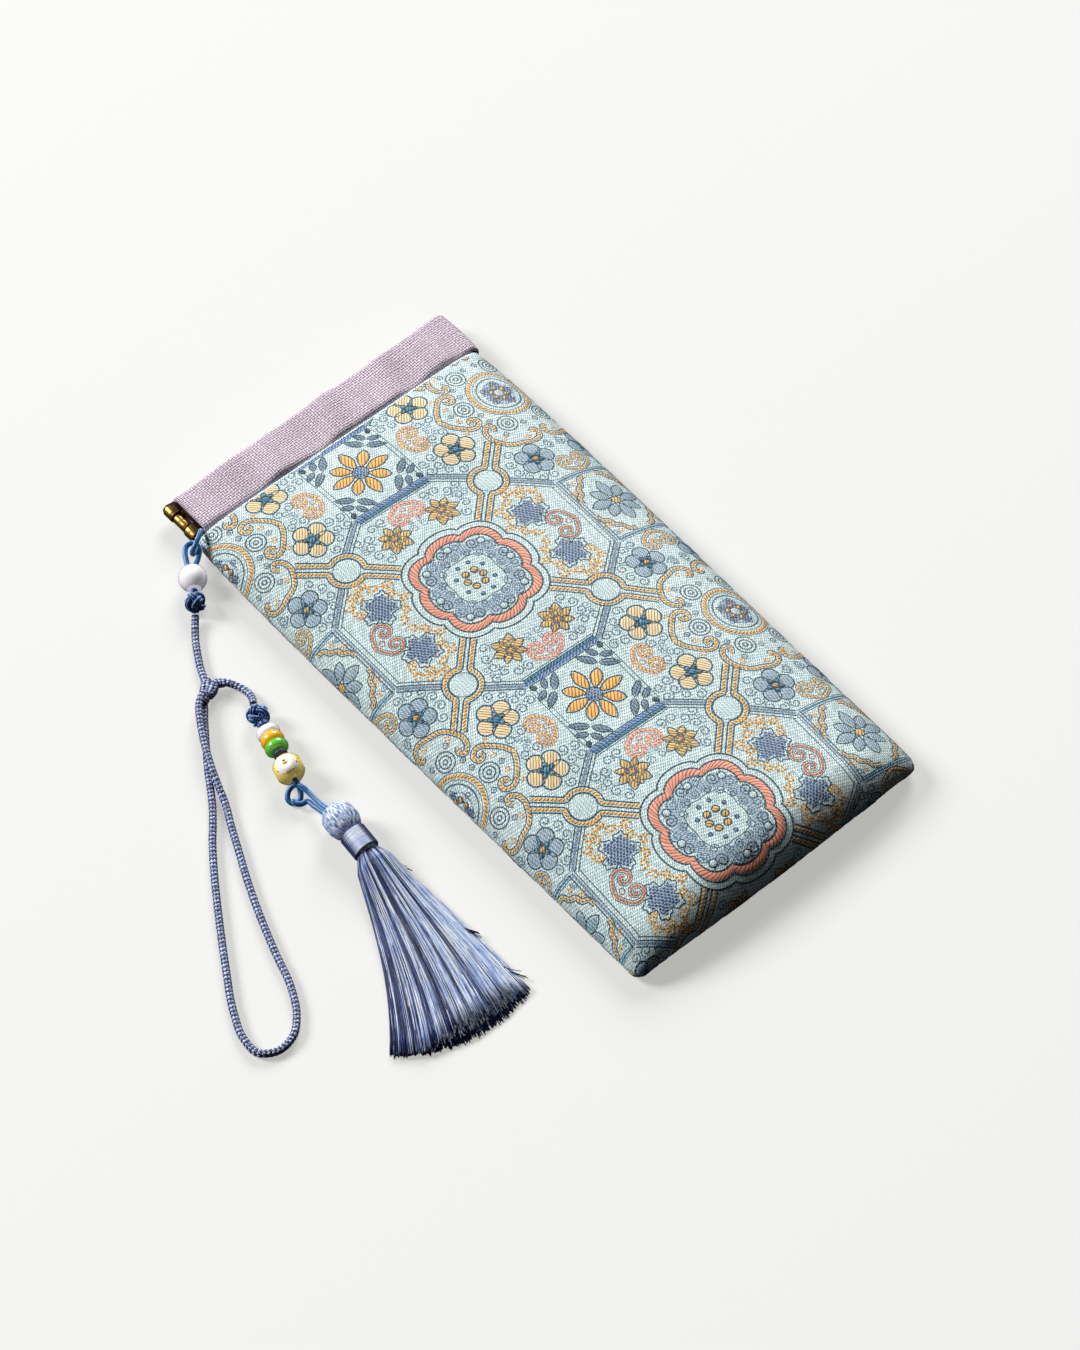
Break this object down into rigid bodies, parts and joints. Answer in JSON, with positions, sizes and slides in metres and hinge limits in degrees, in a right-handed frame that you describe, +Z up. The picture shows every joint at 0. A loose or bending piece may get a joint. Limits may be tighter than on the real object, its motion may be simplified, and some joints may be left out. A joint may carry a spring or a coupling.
{
  "type": "sunglasses pouch",
  "caption": "Soft padded brocade pouch for sunglasses, with a linen band over a sprung flex-frame mouth, and a braided wrist lanyard with knots, beads and a tassel.",
  "frame": {"origin": "on the ground under the middle of the pouch, which lies on its back", "axes": "+Y along the pouch towards its mouth, +X across it, +Z up"},
  "size_m": [0.1682, 0.1786, 0.0131],
  "materials": {
    "brocade": "padded satin brocade, pale aqua ground with a woven lattice of octagons and squares",
    "linen": "plain lilac linen, fine square weave",
    "antique_brass": "antique brass, darkened in the recesses",
    "satin_cord": "navy satin cord",
    "braided_cord": "navy cord braided with light flecks",
    "white_glass": "milky translucent glass",
    "amber_glass": "amber glass",
    "green_glass": "green glass",
    "yellow_ceramic": "yellow glaze with pale coin faces",
    "tassel_strands": "blue rayon strands"
  },
  "bodies": {
    "root": {"pouch_body": "brocade", "casing_front": "linen", "casing_back": "linen", "flex_strip_front": "antique_brass", "flex_strip_back": "antique_brass", "hinge_pin_left": "antique_brass", "hinge_pin_right": "antique_brass", "side_loop": "satin_cord", "lanyard_loop": "satin_cord", "white_bead": "white_glass", "button_knot_upper": "satin_cord", "lanyard_cord": "braided_cord", "cord_fork": "braided_cord", "wrist_loop": "braided_cord", "charm_cord": "braided_cord", "button_knot_lower": "satin_cord", "disc_bead_white": "white_glass", "disc_bead_amber": "amber_glass", "disc_bead_green": "green_glass", "cord_collar": "braided_cord", "coin_bead": "yellow_ceramic", "bead_cord": "satin_cord", "tassel": "tassel_strands", "tassel_binding": "tassel_strands"}
  },
  "joints": []
}
